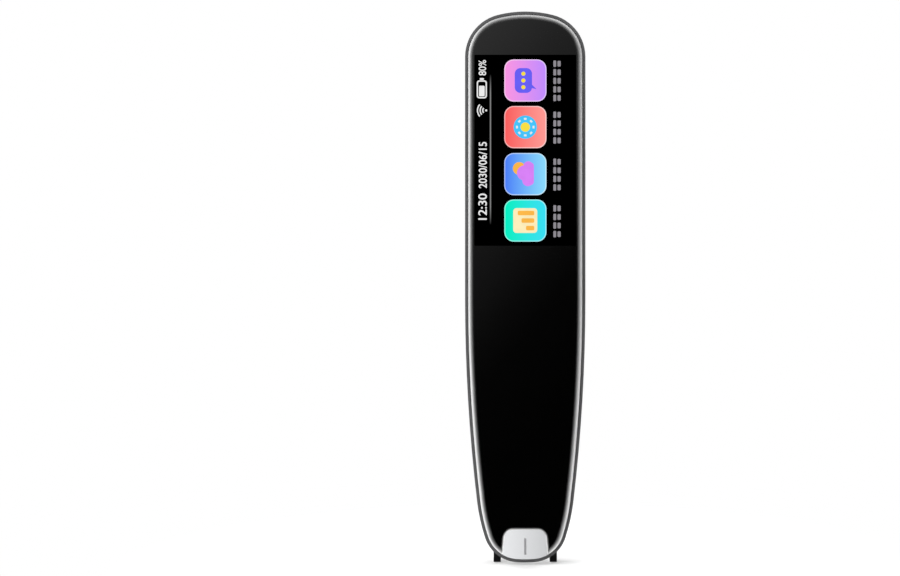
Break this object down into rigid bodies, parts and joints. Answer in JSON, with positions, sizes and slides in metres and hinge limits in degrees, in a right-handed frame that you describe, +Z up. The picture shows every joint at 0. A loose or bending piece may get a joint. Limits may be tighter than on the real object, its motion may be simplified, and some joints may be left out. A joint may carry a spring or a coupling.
{
  "type": "scanning translator pen",
  "caption": "Pen-shaped handheld translator with a glass front and screen, side keys, a speaker grille and an open scanning tip.",
  "frame": {"origin": "centre of the hand grip, on the pen's centre line, 46 mm above the soles of the tip's feet", "axes": "+Z up the pen from the scanning tip to the crown, -Y out of the glass face, +X towards the side keys"},
  "size_m": [0.0322, 0.013, 0.1474],
  "materials": {
    "shell_metal": "satin warm gunmetal paint",
    "frame_black": "satin dark grey",
    "glass_black": "polished black-backed cover glass",
    "window_clear": "clear polished",
    "foam_black": "matt",
    "plastic_dark": "fine matt",
    "plastic_black": "fine matt",
    "screw_steel": "plated",
    "display": "flat panel",
    "flex_amber": "polyimide film",
    "board_green": "solder mask",
    "can_metal": "tinned",
    "ceramic_white": "matt",
    "speaker_black": "matt",
    "mesh_black": "woven dust mesh",
    "battery_foil": "foil pouch",
    "key_metal": "satin warm gunmetal paint",
    "led_white": "moulded",
    "lens_glass": "coated lens"
  },
  "bodies": {
    "housing": {"rear_shell": "shell_metal", "front_frame": "frame_black", "cover_glass": "glass_black", "aiming_window": "window_clear", "glass_gasket": "foam_black", "chassis": "plastic_dark", "chassis_screws": "screw_steel", "display_module": "display", "display_flex": "flex_amber", "display_connector": "plastic_dark", "main_board": "board_green", "shield_can": "can_metal", "antenna_chip": "ceramic_white", "card_socket": "can_metal", "usb_socket": "can_metal", "usb_tongue": "plastic_dark", "microphone": "can_metal", "speaker": "speaker_black", "speaker_gasket": "foam_black", "speaker_mesh": "mesh_black", "battery": "battery_foil", "battery_tape": "foam_black", "battery_board": "board_green", "upper_key_switch": "can_metal", "lower_key_switch": "can_metal", "key_board": "board_green", "scan_baffle": "plastic_black", "trigger_switch": "plastic_dark", "led_board": "board_green", "scan_leds": "led_white", "camera_lens": "lens_glass", "camera_barrel": "plastic_black", "camera_board": "board_green"},
    "upper_key": {"upper_key": "key_metal"},
    "lower_key": {"lower_key": "key_metal"},
    "tip": {"tip_bracket": "plastic_black", "switch_plunger": "plastic_black"}
  },
  "joints": [
    {"name": "upper_key_press", "type": "slide", "parent": "housing", "child": "upper_key", "axis": [-1, 0, 0], "range_m": [0, 0.00025], "stiffness_N_per_m": 6000},
    {"name": "lower_key_press", "type": "slide", "parent": "housing", "child": "lower_key", "axis": [-1, 0, 0], "range_m": [0, 0.00025], "stiffness_N_per_m": 6000},
    {"name": "tip_press", "type": "slide", "parent": "housing", "child": "tip", "axis": [0, 0, 1], "range_m": [0, 0.0006], "stiffness_N_per_m": 1500}
  ]
}
